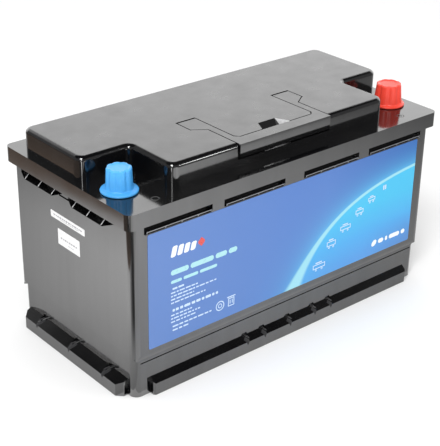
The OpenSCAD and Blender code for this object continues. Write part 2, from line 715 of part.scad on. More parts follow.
module temperature_sensor() {
    z = cell_z0 + cell_h + 1.5;
    color([0.12, 0.12, 0.13]) {
        span(cell_x1 - 30, cell_x1 - 18, 12, 18, cell_z0 + cell_h, cell_z0 + cell_h + 3);
        lead([[cell_x1 - 19, 15, z], [bms_x + 27.5, 15, z], [bms_x + 27.5, 50, z],
            [bms_x + 27.5, 50, 70], [bms_x + 23.8, 50, 70]], 0.8, 3);
    }
}

module negative_lead() {
    color([0.07, 0.07, 0.08]) lead([[-post_x + 11, post_y, lead_z], [bms_x + 40, post_y, lead_z],
        [bms_x + 40, post_y, 92], [bms_x + 25.2, post_y, 92]], lead_r, 8);
}

module positive_lead() {
    color([0.80, 0.12, 0.10]) lead([[post_x - 11, post_y, lead_z], [post_x - 24, post_y, lead_z],
        [post_x - 24, cell_y + 17, lead_z], [lug_x, cell_y + 17, lead_z], [lug_x, cell_y + 17, low_z],
        [lug_x, cell_y + 8, low_z]], lead_r, 8);
}

module bms_link_lead() {
    color([0.07, 0.07, 0.08]) lead([[lug_x, -cell_y - 8, low_z], [lug_x, -cell_y - 17, low_z],
        [lug_x, -cell_y - 17, 144], [bms_x + 52, -cell_y - 17, 144], [bms_x + 52, 43, 144],
        [bms_x + 52, 43, 92], [bms_x + 25.2, 43, 92]], lead_r, 8);
}

module lug_barrel(len) {
    difference() {
        cylinder(r = lead_r + 1, h = len, $fn = 32);
        translate([0, 0, 1.5]) cylinder(r = lead_r + 0.02, h = len, $fn = 32);
    }
}

// Crimped lugs: two under the posts and two on the end terminals of the cell pack.
module lead_lugs() {
    color([0.80, 0.80, 0.82]) {
        for (s = [-1, 1]) translate([s * post_x, post_y, 0]) difference() {
            union() {
                translate([0, 0, plate_z - 10]) cylinder(r = 8, h = 2, $fn = 40);
                span(min(-s * 9, 0), max(-s * 9, 0), -4.5, 4.5, plate_z - 10, plate_z - 8);
                translate([-s * 8, 0, lead_z]) rotate([0, -s * 90, 0]) lug_barrel(6.4);
            }
            translate([0, 0, plate_z - 16]) cylinder(r = 3.1, h = 12, $fn = 32);
        }
        for (s = [-1, 1]) difference() {
            union() {
                translate([cell_x1 + 2.5, s * cell_y, low_z]) rotate([0, 90, 0])
                    cylinder(r = 8, h = 2, $fn = 40);
                translate([lug_x, s * (cell_y + 5.8), low_z]) rotate([-s * 90, 0, 0]) lug_barrel(3.2);
            }
            translate([cell_x1, s * cell_y, low_z]) rotate([0, 90, 0]) cylinder(r = 3.1, h = 6, $fn = 32);
        }
    }
}

module post_bolts() {
    color([0.78, 0.79, 0.80]) for (s = [-1, 1]) translate([s * post_x, post_y, 0]) {
        translate([0, 0, plate_z - 14.2]) cylinder(r = 5.8, h = 4.2, $fn = 6);
        translate([0, 0, plate_z - 10.1]) cylinder(r = 2.97, h = 14, $fn = 32);
    }
}

module top_pad() {
    color([0.20, 0.20, 0.22])
        span(cell_x0 + 6, cell_x0 + 36, -60, 60, cell_z0 + cell_h, cell_z0 + cell_h + 8);
}

case();
lid();
lid_seal();
carry_handle();
hinge_pins();
negative_post();
positive_post();
post_seals();
negative_cap();
positive_cap();
front_label();
end_strip_sticker();
end_square_sticker();
base_pad();
cell_1();
cell_2();
cell_3();
cell_4();
cell_spacers();
end_plates();
cell_straps();
series_busbars();
busbar_nuts();
bms_bracket();
bms_heat_sink();
bms_board();
bms_screws();
balance_harness();
temperature_sensor();
negative_lead();
positive_lead();
bms_link_lead();
lead_lugs();
post_bolts();
top_pad();
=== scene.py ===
"""Looks for a deep cycle leisure battery: the studio, the materials, and the detailed pieces that stand
for its CAD nodes."""
import json
import math
import random

import bmesh
import bpy
import numpy as np
from mathutils import Matrix, Vector
from mathutils.geometry import delaunay_2d_cdt


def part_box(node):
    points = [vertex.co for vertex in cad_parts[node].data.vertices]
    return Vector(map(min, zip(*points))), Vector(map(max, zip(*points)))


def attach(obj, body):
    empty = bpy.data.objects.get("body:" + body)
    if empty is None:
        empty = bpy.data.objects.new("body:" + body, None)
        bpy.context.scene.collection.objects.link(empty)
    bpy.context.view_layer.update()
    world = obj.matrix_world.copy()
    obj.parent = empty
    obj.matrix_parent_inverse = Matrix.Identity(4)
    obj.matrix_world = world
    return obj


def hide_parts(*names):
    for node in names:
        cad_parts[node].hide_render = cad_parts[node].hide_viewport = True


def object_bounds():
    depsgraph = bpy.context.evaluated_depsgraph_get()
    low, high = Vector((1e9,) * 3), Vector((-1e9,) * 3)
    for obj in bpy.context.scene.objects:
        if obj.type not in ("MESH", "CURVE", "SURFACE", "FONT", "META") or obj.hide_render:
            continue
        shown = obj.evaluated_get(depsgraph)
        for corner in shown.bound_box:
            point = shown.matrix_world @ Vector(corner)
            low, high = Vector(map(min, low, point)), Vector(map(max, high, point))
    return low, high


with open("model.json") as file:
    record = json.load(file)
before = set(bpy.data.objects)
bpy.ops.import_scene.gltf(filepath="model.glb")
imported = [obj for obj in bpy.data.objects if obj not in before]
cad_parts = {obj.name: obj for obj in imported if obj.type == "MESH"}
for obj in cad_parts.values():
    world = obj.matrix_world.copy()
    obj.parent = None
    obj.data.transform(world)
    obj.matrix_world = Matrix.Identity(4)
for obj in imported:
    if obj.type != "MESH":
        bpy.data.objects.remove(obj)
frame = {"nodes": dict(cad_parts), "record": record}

CAD_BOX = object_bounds()
MM = 0.001

# Camera, fitted to the object's own edges
AZIMUTH, ELEVATION, ROLL = -40.73, 26.73, 1.03
TARGET = Vector((-31.12, -25.23, 95.0)) * MM
DISTANCE = 1.03195
LENS = 95.43
SENSOR = 36.0

# Studio
FLOOR = (0.90, 0.90, 0.90)
ROOM_LIGHT, BACKDROP = 0.95, 2.15
BACKDROP_WAY = (0.65, 0.76, 0.0)
WEDGE_AT, WEDGE_WAY = (-0.166, -0.080), (-0.758, -0.653)

# The sweep on the front film: where it starts, how high it climbs and in what length, in metres
SWEEP_X, SWEEP_Z, SWEEP_RISE, SWEEP_RUN = 0.004, 0.043, 0.082, 0.050

# Zones of the mouldings where pale highlights are painted, in metres from the middle of the foot
GRIP_RIB_Z = (0.142, 0.152)
FIN_Y, FIN_Z, FIN_END = (0.0827, 0.0835), (0.1463, 0.1486), 0.158
NOTCH_TOP = 0.02
SCOOP_X, SCOOP_Y, SCOOP_FLANK = (0.0085, 0.0185), (-0.0600, -0.0455), (-0.894, -0.447)
MARK_AT, MARK_REACH, MARK_Z = (0.1388, -0.074), (0.0026, 0.0037), (0.1686, 0.1700)
RIM_Y, RIM_Z, RIM_FADE = (-0.0866, -0.0868), (0.1680, 0.1692), (-0.11, -0.05)

# Meshes: lengths in metres, angles in degrees
WELD, TINY_AREA, FOLDED_AREA = 2e-6, 1e-12, 2e-11
SHARP, SAME_FLAT = 25.0, 0.35
ROOM_SHARE = 0.42

# The case wall's sloped step and its corners, and the caps, in mm
STEP_FOOT, STEP_HEAD, STEP_LIFT, STEP_SHARE = 33.0, 40.0, 5.2, 4.0
CORNER_X, CORNER_Y, CORNER_R = 160.25, 74.75, 7.0
OUTER_X, OUTER_Y = 167.1, 81.6
CAP_STEPS, CAP_PLAY, CAP_PETAL, CAP_GROOVE = 112, 0.4, 0.30, 1.05


# ---------------------------------------------------------------- node materials

class Nodes:
    """Short names for making and joining the nodes of a tree."""

    def __init__(self, tree, coordinates):
        self.tree = tree
        tree.nodes.clear()
        self.at = self.node("ShaderNodeTexCoord").outputs[coordinates]

    def node(self, kind, **props):
        n = self.tree.nodes.new(kind)
        for k, v in props.items():
            setattr(n, k, v)
        return n

    def put(self, socket, value):
        if hasattr(value, "links"):
            self.tree.links.new(value, socket)
        else:
            socket.default_value = value

    def math(self, op, a, b=0.0, clamp=False):
        n = self.node("ShaderNodeMath", operation=op, use_clamp=clamp)
        self.put(n.inputs[0], a)
        self.put(n.inputs[1], b)
        return n.outputs[0]

    def xyz(self, vector=None):
        n = self.node("ShaderNodeSeparateXYZ")
        self.put(n.inputs[0], vector or self.at)
        return n.outputs

    def span(self, value, a, b, lo=0.0, hi=1.0, smooth=False):
        n = self.node("ShaderNodeMapRange", interpolation_type="SMOOTHSTEP" if smooth else "LINEAR")
        for i, v in enumerate((value, a, b, lo, hi)):
            self.put(n.inputs[i], v)
        return n.outputs[0]

    def within(self, value, low, high):
        """1 where the value lies between the two limits."""
        above, below = self.math("GREATER_THAN", value, low), self.math("LESS_THAN", value, high)
        return self.math("MULTIPLY", above, below)


class Paint(Nodes):
    """A principled material with short names for the nodes that feed it."""

    def __init__(self, name, color, rough, metallic=0.0, ior=1.5):
        self.mat = bpy.data.materials.new(name)
        self.mat.use_nodes = True
        super().__init__(self.mat.node_tree, "Object")
        self.surface = self.node("ShaderNodeOutputMaterial").inputs["Surface"]
        self.bsdf = self.node("ShaderNodeBsdfPrincipled")
        self.put(self.surface, self.bsdf.outputs[0])
        self.set("Base Color", (*color, 1))
        self.set("Roughness", rough)
        self.set("Metallic", metallic)
        self.set("IOR", ior)
        self.height = None

    def set(self, name, value):
        self.put(self.bsdf.inputs[name], value)

    def scaled(self, scale):
        n = self.node("ShaderNodeMapping")
        self.put(n.inputs[0], self.at)
        n.inputs["Scale"].default_value = scale
        return n.outputs[0]

    def noise(self, scale, detail=3.0, rough=0.5, stretch=None, distortion=0.0):
        n = self.node("ShaderNodeTexNoise")
        self.put(n.inputs["Vector"], self.scaled(stretch) if stretch else self.at)
        n.inputs["Scale"].default_value = scale
        n.inputs["Detail"].default_value = detail
        n.inputs["Roughness"].default_value = rough
        n.inputs["Distortion"].default_value = distortion
        return n.outputs["Fac"]

    def cells(self, scale, feature="F1"):
        n = self.node("ShaderNodeTexVoronoi", feature=feature)
        self.put(n.inputs["Vector"], self.at)
        n.inputs["Scale"].default_value = scale
        return n.outputs["Distance"]

    def mix(self, fac, a, b, mode="MIX"):
        n = self.node("ShaderNodeMix", data_type="RGBA", blend_type=mode)
        self.put(n.inputs[0], fac)
        for socket, v in ((n.inputs[6], a), (n.inputs[7], b)):
            self.put(socket, v if hasattr(v, "links") else (*v, 1))
        return n.outputs[2]

    def bump(self, height, distance, strength=1.0):
        n = self.node("ShaderNodeBump")
        n.inputs["Strength"].default_value = strength
        n.inputs["Distance"].default_value = distance
        self.put(n.inputs["Height"], height)
        if self.height is not None:
            self.put(n.inputs["Normal"], self.height)
        self.height = n.outputs[0]
        self.put(self.bsdf.inputs["Normal"], self.height)


def plastic(name, color, rough, grain=0.0, wear=0.5):
    """Moulded plastic: slow waves in the surface, fine grain, worn and dusty patches."""
    p = Paint(name, color, rough)
    broad = p.noise(34.0, 3.0, 0.55)
    streak = p.noise(260.0, 4.0, 0.65, stretch=(0.12, 1.0, 1.0), distortion=0.4)
    specks = p.math("GREATER_THAN", p.noise(1500.0, 1.0), 0.80)
    worn = p.math("MULTIPLY", p.span(streak, 0.52, 0.72), wear, clamp=True)
    lighter = tuple(min(1.0, c * 1.6 + 0.02) for c in color)
    tone = p.mix(p.span(broad, 0.3, 0.7), tuple(c * 0.86 for c in color), tuple(c * 1.1 for c in color))
    tone = p.mix(p.math("MULTIPLY", p.math("MAXIMUM", specks, worn), 0.35), tone, lighter)
    p.set("Base Color", tone)
    gloss = p.span(broad, 0.3, 0.7, rough * 0.82, rough * 1.18)
    p.set("Roughness", p.math("ADD", gloss, p.math("MULTIPLY", worn, 0.10), clamp=True))
    p.bump(p.noise(13.0, 1.0, 0.4), 0.00032, 0.5)
    if grain:
        p.bump(p.noise(2200.0, 2.0, 0.6), grain, 0.6)
    return p


def lay_highlight(p, tone, masks, color, wear):
    """Painted highlight: lighten the paint where every mask is 1, broken up by the wear noise."""
    m = p.span(wear, 0.3, 0.5, 0.75, 1.0)
    for mask in masks:
        m = p.math("MULTIPLY", m, mask)
    return p.mix(m, tone, color)


def case_painted_highlights(p, tone, way, at, wear):
    """Case: painted highlights, pale colour on the sloped edges of the grip ribs, the slot fins and the sides
    of the ledge notches, where they catch the light.
    """
    side_x, side_y = p.math("ABSOLUTE", way[0]), p.math("ABSOLUTE", way[1])
    # Painted highlight on the grip ribs' sloped edges.
    grip_ribs = [p.span(side_x, 0.5, 0.6), p.span(way[2], 0.5, 0.6), p.within(at[2], *GRIP_RIB_Z)]
    tone = lay_highlight(p, tone, grip_ribs, (0.62, 0.62, 0.63), wear)
    # Painted highlight on the fins in the front slots.
    fins = [p.within(p.math("ABSOLUTE", at[1]), *FIN_Y), p.within(at[2], *FIN_Z),
            p.within(p.math("ABSOLUTE", at[0]), 0.0, FIN_END)]
    tone = lay_highlight(p, tone, fins, (0.15, 0.155, 0.17), wear)
    # Painted highlight round the sides of the ledge notches.
    notches = [p.span(p.math("MAXIMUM", side_x, side_y), 0.78, 0.86), p.within(way[2], 0.3, 0.6),
               p.within(at[2], 0.0, NOTCH_TOP)]
    return lay_highlight(p, tone, notches, (0.07, 0.07, 0.073), wear)


def lid_painted_highlights(p, tone, way, at, wear):
    """Lid: painted highlights on the flank of the finger scoop (a painted reflection, nearly white), the
    edges of the ring marks and the rim's left front edge, fading out to the right.
    """
    flank = p.math("ADD", p.math("MULTIPLY", way[0], SCOOP_FLANK[0]),
                   p.math("MULTIPLY", way[1], SCOOP_FLANK[1]))
    # Painted reflection on the scoop's flank.
    scoop = [p.span(flank, 0.85, 0.95), p.within(at[0], *SCOOP_X), p.within(at[1], *SCOOP_Y)]
    tone = lay_highlight(p, tone, scoop, (0.90, 0.90, 0.91), wear)
    # Painted highlight on the edges of the ring marks.
    off = p.math("SUBTRACT", p.math("ABSOLUTE", at[0]), MARK_AT[0])
    back = p.math("SUBTRACT", at[1], MARK_AT[1])
    reach = p.math("SQRT", p.math("ADD", p.math("MULTIPLY", off, off), p.math("MULTIPLY", back, back)))
    tone = lay_highlight(p, tone, [p.within(reach, *MARK_REACH), p.within(at[2], *MARK_Z)], (0.12, 0.12, 0.12), wear)
    # Painted highlight along the rim's left front edge, fading out to the right.
    rim = [p.span(at[1], *RIM_Y), p.within(way[2], 0.25, 0.95), p.within(at[2], *RIM_Z),
           p.span(at[0], *RIM_FADE, 1.0, 0.0)]
    return lay_highlight(p, tone, rim, (0.40, 0.40, 0.41), wear)


def black_plastic(name, top_rough=None, top_z=0.0, painted_highlights=None):
    """Glossy black moulding; above top_z it is satin with a fine spark-eroded grain. The last argument is the
    function that paints pale highlights into the colour where the moulding catches the light."""
    p = Paint(name, (0.004, 0.004, 0.0045), 0.1, ior=1.8)
    broad = p.noise(30.0, 3.0, 0.55)
    streak = p.noise(300.0, 4.0, 0.65, stretch=(0.1, 1.0, 1.0), distortion=0.5)
    worn = p.span(streak, 0.62, 0.85)
    specks = p.span(p.noise(1300.0, 1.0), 0.74, 0.80)
    dusty = 0.05 if top_rough else 0.3
    dust = p.math("MULTIPLY", p.math("MAXIMUM", specks, p.math("MULTIPLY", worn, 0.35)), dusty)
    tone = p.mix(p.span(broad, 0.3, 0.7), (0.003, 0.003, 0.0036), (0.0056, 0.0055, 0.0056))
    tone = p.mix(dust, tone, (0.035, 0.034, 0.032))
    way = p.xyz(p.node("ShaderNodeNewGeometry").outputs["Normal"])
    at = p.xyz()
    # Painted highlights laid into the colour.
    if painted_highlights:
        tone = painted_highlights(p, tone, way, at, streak)
    p.set("Base Color", tone)
    comb = p.noise(75.0, 3.0, 0.6, stretch=(1.0, 1.0, 0.06))
    p.set("Specular IOR Level", p.span(comb, 0.3, 0.7, 0.47, 0.53))
    gloss = p.math("ADD", p.span(broad, 0.3, 0.7, 0.07, 0.13), p.math("MULTIPLY", worn, 0.05))
    p.bump(p.noise(12.0, 1.0, 0.4), 0.0003, 0.4)
    if top_rough:
        flat = p.math("MULTIPLY", p.span(at[2], top_z - 0.0006, top_z - 0.0001), p.span(way[2], 0.80, 0.97))
        satin = p.span(p.noise(55.0, 4.0, 0.6), 0.3, 0.7, top_rough * 0.88, top_rough * 1.12)
        gloss = p.math("ADD", p.math("MULTIPLY", gloss, p.math("SUBTRACT", 1.0, flat)),
                       p.math("MULTIPLY", satin, flat))
        p.bump(p.math("MULTIPLY", p.noise(2600.0, 2.0, 0.6), flat), 0.00002, 0.5)
    p.set("Roughness", gloss)
    return p


def metal(name, color, rough, stretch=(1.0, 1.0, 1.0), tarnish=0.3):
    """Plated or drawn metal with brush lines, tarnish and handling marks."""
    p = Paint(name, color, rough, metallic=1.0)
    lines = p.noise(500.0, 5.0, 0.7, stretch=stretch)
    cloud = p.noise(70.0, 4.0, 0.6)
    dull = tuple(c * (1 - tarnish) for c in color)
    p.set("Base Color", p.mix(p.span(cloud, 0.35, 0.7), color, dull))
    p.set("Roughness", p.math("ADD", p.span(lines, 0.3, 0.7, rough * 0.7, rough * 1.35),
                              p.span(cloud, 0.5, 0.8, 0.0, 0.12), clamp=True))
    p.bump(lines, 0.00003, 0.4)
    return p


def sweep(p, x, up):
    """The bright sweep that climbs the film: how far a point lies under it, and half its width there."""
    fall = p.math("EXPONENT", p.math("DIVIDE", p.math("SUBTRACT", SWEEP_X, x), SWEEP_RUN))
    above = p.math("SUBTRACT", up, p.math("MULTIPLY", p.math("SUBTRACT", 1.0, fall), SWEEP_RISE))
    slope = p.math("MULTIPLY", fall, SWEEP_RISE / SWEEP_RUN)
    lean = p.math("SQRT", p.math("ADD", p.math("MULTIPLY", slope, slope), 1.0))
    off = p.math("DIVIDE", above, p.math("MULTIPLY", lean, -1.0))
    thin = p.math("EXPONENT", p.math("DIVIDE", up, -0.026))
    return off, p.math("ADD", p.math("MULTIPLY", thin, 0.0075), 0.0011)


def label_film():
    """Printed film: blue field, a bright sweep across it, and a lighter sky under the sweep."""
    p = Paint("label_film", (0.1, 0.2, 0.6), 0.18, ior=1.38)
    x, _, z = p.xyz()
    off, half = sweep(p, x, p.math("SUBTRACT", z, SWEEP_Z))
    core = p.span(p.math("DIVIDE", p.math("ABSOLUTE", off), half), 0.55, 1.25, 1.0, 0.0, smooth=True)
    inside = p.span(off, -0.001, 0.001)
    halo_out = p.math("EXPONENT", p.math("DIVIDE", p.math("ABSOLUTE", off), -0.010))
    halo_in = p.math("EXPONENT", p.math("DIVIDE", p.math("ABSOLUTE", off), -0.045))
    field = p.mix(p.span(x, -0.154, 0.0), (0.090, 0.180, 0.44), (0.070, 0.170, 0.465))
    field = p.mix(p.span(x, 0.04, 0.155), field, (0.022, 0.100, 0.36))
    field = p.mix(p.math("MULTIPLY", halo_out, 0.80), field, (0.075, 0.43, 0.72))
    sky = p.mix(p.span(z, 0.045, 0.068), (0.070, 0.25, 0.62), (0.055, 0.31, 0.68))
    sky = p.mix(p.span(z, 0.068, 0.098), sky, (0.045, 0.43, 0.70))
    low_right = p.math("MULTIPLY", p.span(x, 0.09, 0.155), p.span(z, 0.045, 0.075, 1.0, 0.0))
    sky = p.mix(low_right, sky, (0.065, 0.185, 0.48))
    sky = p.mix(p.math("MULTIPLY", halo_in, 0.30), sky, (0.06, 0.48, 0.72))
    tone = p.mix(inside, field, sky)
    tone = p.mix(p.math("MULTIPLY", core, 0.92), tone, (0.30, 0.62, 0.70))
    dots = p.span(p.noise(2400.0, 1.0), 0.35, 0.65, 0.985, 1.015)
    tone = p.mix(1.0, tone, p.mix(dots, (0.97, 0.97, 0.97), (1.03, 1.03, 1.03)), "MULTIPLY")
    p.set("Base Color", tone)
    p.set("Roughness", p.span(p.noise(60.0, 4.0, 0.6), 0.3, 0.7, 0.14, 0.24))
    p.bump(p.noise(45.0, 2.0), 0.00012, 0.35)
    return p


def ink(name, color):
    """Print of one colour, slightly uneven."""
    p = Paint(name, color, 0.3)
    p.set("Base Color", p.mix(p.span(p.noise(1800.0, 2.0), 0.3, 0.7), color, tuple(c * 0.9 for c in color)))
    p.set("Roughness", p.span(p.noise(300.0, 2.0), 0.3, 0.7, 0.25, 0.4))
    return p.mat


def paper():
    """White sticker paper with faint fibres."""
    p = Paint("sticker_paper", (0.80, 0.80, 0.78), 0.45)
    fibre = p.noise(900.0, 4.0, 0.7, stretch=(1.0, 0.4, 1.0))
    p.set("Base Color", p.mix(p.span(fibre, 0.3, 0.7), (0.78, 0.78, 0.78), (0.70, 0.70, 0.70)))
    p.set("Roughness", p.span(fibre, 0.3, 0.7, 0.35, 0.55))
    p.bump(fibre, 0.00002, 0.4)
    return p


def foam():
    """Grey open foam."""
    p = Paint("foam_grey", (0.16, 0.16, 0.17), 0.9)
    pores = p.cells(900.0)
    p.set("Base Color", p.mix(p.span(pores, 0.1, 0.6), (0.07, 0.07, 0.075), (0.20, 0.20, 0.21)))
    p.set("Roughness", p.span(pores, 0.0, 0.6, 0.98, 0.82))
    p.bump(pores, 0.0004, 0.7)
    return p


def board():
    """Circuit board: dark green mask, lighter over the copper runs, with tinned patches."""
    p = Paint("board_green", (0.02, 0.16, 0.06), 0.35)
    runs = p.span(p.cells(260.0, "DISTANCE_TO_EDGE"), 0.02, 0.05)
    plate = p.mix(runs, (0.05, 0.26, 0.10), (0.012, 0.11, 0.04))
    p.set("Base Color", p.mix(p.span(p.noise(240.0), 0.66, 0.70), plate, (0.55, 0.50, 0.38)))
    p.set("Roughness", p.span(p.noise(500.0), 0.3, 0.7, 0.25, 0.45))
    p.bump(runs, 0.00005, 0.5)
    return p


def wrap():
    """Shrink film on the cells: deep blue, faintly crinkled."""
    p = plastic("cell_wrap", (0.02, 0.09, 0.26), 0.28)
    p.bump(p.noise(120.0, 4.0, 0.6, stretch=(0.3, 1.0, 1.0)), 0.0004, 0.5)
    return p


def make_materials():
    """One material for each material slot of the record."""
    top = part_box("lid")[1].z
    made = {
        "case_black": black_plastic("case_black", painted_highlights=case_painted_highlights),
        "lid_black": black_plastic("lid_black", 0.30, top, painted_highlights=lid_painted_highlights),
        "handle_black": black_plastic("handle_black", 0.30, top),
        "seal_rubber": plastic("seal_rubber", (0.02, 0.02, 0.02), 0.7, grain=0.00006, wear=0.2),
        "pin_steel": metal("pin_steel", (0.60, 0.60, 0.62), 0.28, (0.1, 1.0, 1.0)),
        "post_brass": metal("post_brass", (0.72, 0.58, 0.36), 0.30, (1.0, 1.0, 0.1)),
        "cap_blue": plastic("cap_blue", (0.065, 0.37, 0.80), 0.38, grain=0.00002, wear=0.2),
        "cap_red": plastic("cap_red", (0.86, 0.06, 0.035), 0.38, grain=0.00002, wear=0.2),
        "label_film": label_film(),
        "sticker_white": paper(),
        "foam_grey": foam(),
        "cell_wrap": wrap(),
        "spacer_sheet": plastic("spacer_sheet", (0.55, 0.52, 0.42), 0.6, grain=0.00005),
        "plate_aluminium": metal("plate_aluminium", (0.78, 0.79, 0.80), 0.34, (0.06, 1.0, 1.0)),
        "strap_steel": metal("strap_steel", (0.52, 0.53, 0.55), 0.32, (0.05, 1.0, 1.0)),
        "bus_copper": metal("bus_copper", (0.85, 0.46, 0.28), 0.26, (1.0, 0.1, 1.0), tarnish=0.45),
        "fastener_steel": metal("fastener_steel", (0.62, 0.62, 0.60), 0.3),
        "bracket_metal": metal("bracket_metal", (0.45, 0.46, 0.48), 0.4, (1.0, 0.1, 1.0)),
        "sink_aluminium": metal("sink_aluminium", (0.70, 0.71, 0.73), 0.42, (1.0, 1.0, 0.05)),
        "board_green": board(),
        "wire_red": plastic("wire_red", (0.55, 0.02, 0.02), 0.45, grain=0.00003),
        "wire_black": plastic("wire_black", (0.02, 0.02, 0.02), 0.45, grain=0.00003),
        "lug_tin": metal("lug_tin", (0.74, 0.73, 0.70), 0.36),
    }
    return {k: v.mat for k, v in made.items()}


# ---------------------------------------------------------------- meshes

def flat_frame(face):
    """Two axes in the plane of a face, and its corners in them."""
    n = face.normal
    u = n.orthogonal().normalized()
    v = n.cross(u)
    return u, v, np.array([(c.vert.co.dot(u), c.vert.co.dot(v)) for c in face.loops])


def inward_room(face, room):
    """For each edge of a face, how far the face reaches inward from it; the least over both faces is kept."""
    if face.calc_area() < TINY_AREA:
        for e in face.edges:
            room[e] = 0.0
        return
    _, _, p = flat_frame(face)
    q = np.roll(p, -1, 0)
    n = len(p)
    for i, corner in enumerate(face.loops):
        along = q[i] - p[i]
        length = np.hypot(*along)
        if length < 1e-9:
            continue
        inward = np.array((-along[1], along[0])) / length
        others = np.array([j for j in range(n) if j not in (i, (i - 1) % n, (i + 1) % n)], int)
        best = 1.0
        if len(others):
            c, way = p[others], q[others] - p[others]
            cross = inward[0] * way[:, 1] - inward[1] * way[:, 0]
            cross = np.where(np.abs(cross) < 1e-15, 1e-15, cross)
            for t in (0.08, 0.5, 0.92):
                off = c - (p[i] + along * t)
                far = (off[:, 0] * way[:, 1] - off[:, 1] * way[:, 0]) / cross
                on = (off[:, 0] * inward[1] - off[:, 1] * inward[0]) / cross
                hit = far[(far > 1e-8) & (on > -0.001) & (on < 1.001)]
                if len(hit):
                    best = min(best, float(hit.min()))
        room[corner.edge] = min(room.get(corner.edge, 1.0), best)


def mend_folds(bm):
    """Splits again, cleanly, each face whose own split into triangles folds over itself."""
    bm.faces.index_update()
    folded = {}
    for corners in bm.calc_loop_triangles():
        face = corners[0].face
        a, b, c = (k.vert.co for k in corners)
        if (b - a).cross(c - a).dot(face.normal) < -FOLDED_AREA:
            folded[face.index] = face
    for face in folded.values():
        if face.calc_area() < TINY_AREA:
            continue
        u, v, p = flat_frame(face)
        own = [c.vert for c in face.loops]
        height = sum(k.co.dot(face.normal) for k in own) / len(own)
        points, _, tris, origin, _, _ = delaunay_2d_cdt(
            [Vector(k) for k in p], [], [list(range(len(p)))], 1, 1e-7, True)
        made = [own[origin[i][0]] if origin[i] else bm.verts.new(u * k.x + v * k.y + face.normal * height)
                for i, k in enumerate(points)]
        material = face.material_index
        bm.faces.remove(face)
        for t in tris:
            corner = [made[i] for i in t]
            if len(set(corner)) > 2 and not bm.faces.get(corner):
                new = bm.faces.new(corner)
                new.smooth = True
                new.material_index = material


def flat_areas(bm, normal):
    """The number of the flat that each face belongs to, and the area of each flat."""
    area = [f.calc_area() for f in bm.faces]
    flat = [-1] * len(bm.faces)
    total = []
    same = math.cos(math.radians(SAME_FLAT))
    for f in bm.faces:
        if flat[f.index] >= 0:
            continue
        flat[f.index] = len(total)
        stack, sum_area = [f], 0.0
        while stack:
            g = stack.pop()
            sum_area += area[g.index]
            for h in [h for e in g.edges for h in e.link_faces]:
                if flat[h.index] < 0 and normal[h.index].dot(normal[f.index]) > same:
                    flat[h.index] = len(total)
                    stack.append(h)
        total.append(sum_area)
    return flat, total


def smooth_corners(me, least=38.0):
    """Corner normals averaged over the neighbours that meet at a small angle, each weighted by the
    area of the flat it belongs to, so that wide flats stay flat and narrow roundings run into them."""
    bm = bmesh.new()
    bm.from_mesh(me)
    bm.faces.ensure_lookup_table()
    bm.normal_update()
    normal = [f.normal.copy() for f in bm.faces]
    flat, total = flat_areas(bm, normal)
    near = math.cos(math.radians(least))
    corners = []
    for f in bm.faces:
        for c in f.loops:
            out = Vector((0.0, 0.0, 0.0))
            used = set()
            for g in c.vert.link_faces:
                k = flat[g.index]
                if k not in used and normal[g.index].dot(normal[f.index]) > near:
                    used.add(k)
                    out += normal[g.index] * total[k]
            corners.append(out.normalized() if out.length > 0 else normal[f.index])
    bm.free()
    me.normals_split_custom_set(corners)


def merged_copy(node, shape):
    """A CAD node's mesh with its flats merged. shape(vert) may move a corner; what that bends is split."""
    bm = bmesh.new()
    bm.from_mesh(frame["nodes"][node].data)
    bmesh.ops.remove_doubles(bm, verts=bm.verts, dist=WELD)
    bmesh.ops.dissolve_limit(bm, angle_limit=math.radians(0.6), verts=bm.verts, edges=bm.edges)
    for v in bm.verts if shape else ():
        shape(v)
    bm.normal_update()
    if shape:
        bent = [f for f in bm.faces if max(abs((v.co - f.verts[0].co).dot(f.normal)) for v in f.verts) > WELD]
        bmesh.ops.triangulate(bm, faces=bent)
    return bm


def weigh_edges(bm, width, most, soft):
    """Bevel weights: a sharp edge takes the width, or less where its faces are narrow. soft(edge) may give
    a share of up to most for an edge that is rounded more than the rest."""
    room = {}
    for f in bm.faces:
        inward_room(f, room)
    weight = bm.edges.layers.float.new("bevel_weight_edge")
    for e in bm.edges:
        if not e.is_manifold:
            continue
        share = soft(e) if soft else 0.0
        if share or e.calc_face_angle(0.0) > math.radians(SHARP):
            e[weight] = min(share or 1.0, ROOM_SHARE * room.get(e, 0.0) / width) / most


def bevel(o, width, segments):
    """Round the weighted edges of an object, and mend what that folds over or squeezes to nothing."""
    m = o.modifiers.new("edges", "BEVEL")
    m.limit_method = "WEIGHT"
    m.width = width
    m.segments = segments
    m.use_clamp_overlap = False
    m.miter_outer = "MITER_SHARP"
    done = bpy.data.meshes.new_from_object(o.evaluated_get(bpy.context.evaluated_depsgraph_get()))
    bm = bmesh.new()
    bm.from_mesh(done)
    bm.normal_update()
    mend_folds(bm)
    bmesh.ops.remove_doubles(bm, verts=bm.verts, dist=1.5 * WELD)
    bmesh.ops.dissolve_degenerate(bm, edges=bm.edges, dist=0.5 * WELD)
    bmesh.ops.triangulate(bm, faces=[f for f in bm.faces if len(f.verts) > 4], ngon_method="EAR_CLIP")
    o.modifiers.clear()
    bm.to_mesh(o.data)
    bm.free()
    bpy.data.meshes.remove(done)


def mesh_object(name, bm):
    """A linked object that takes over the mesh."""
    me = bpy.data.meshes.new(name)
    bm.to_mesh(me)
    bm.free()
    o = bpy.data.objects.new(name, me)
    bpy.context.collection.objects.link(o)
    return o


def rounded(node, name, width, segments, soft=None, shape=None):
    """A piece that stands for a CAD node: its faces merged, its edges rounded, its shading smooth."""
    bm = merged_copy(node, shape)
    most = STEP_SHARE if soft else 1.0
    weigh_edges(bm, width, most, soft)
    o = mesh_object(name, bm)
    for f in o.data.polygons:
        f.use_smooth = True
    bevel(o, width * most, segments)
    smooth_corners(o.data)
    o.data.materials.append(MATERIALS[SLOT[node]])
    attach(o, BODY[node])
    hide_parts(node)


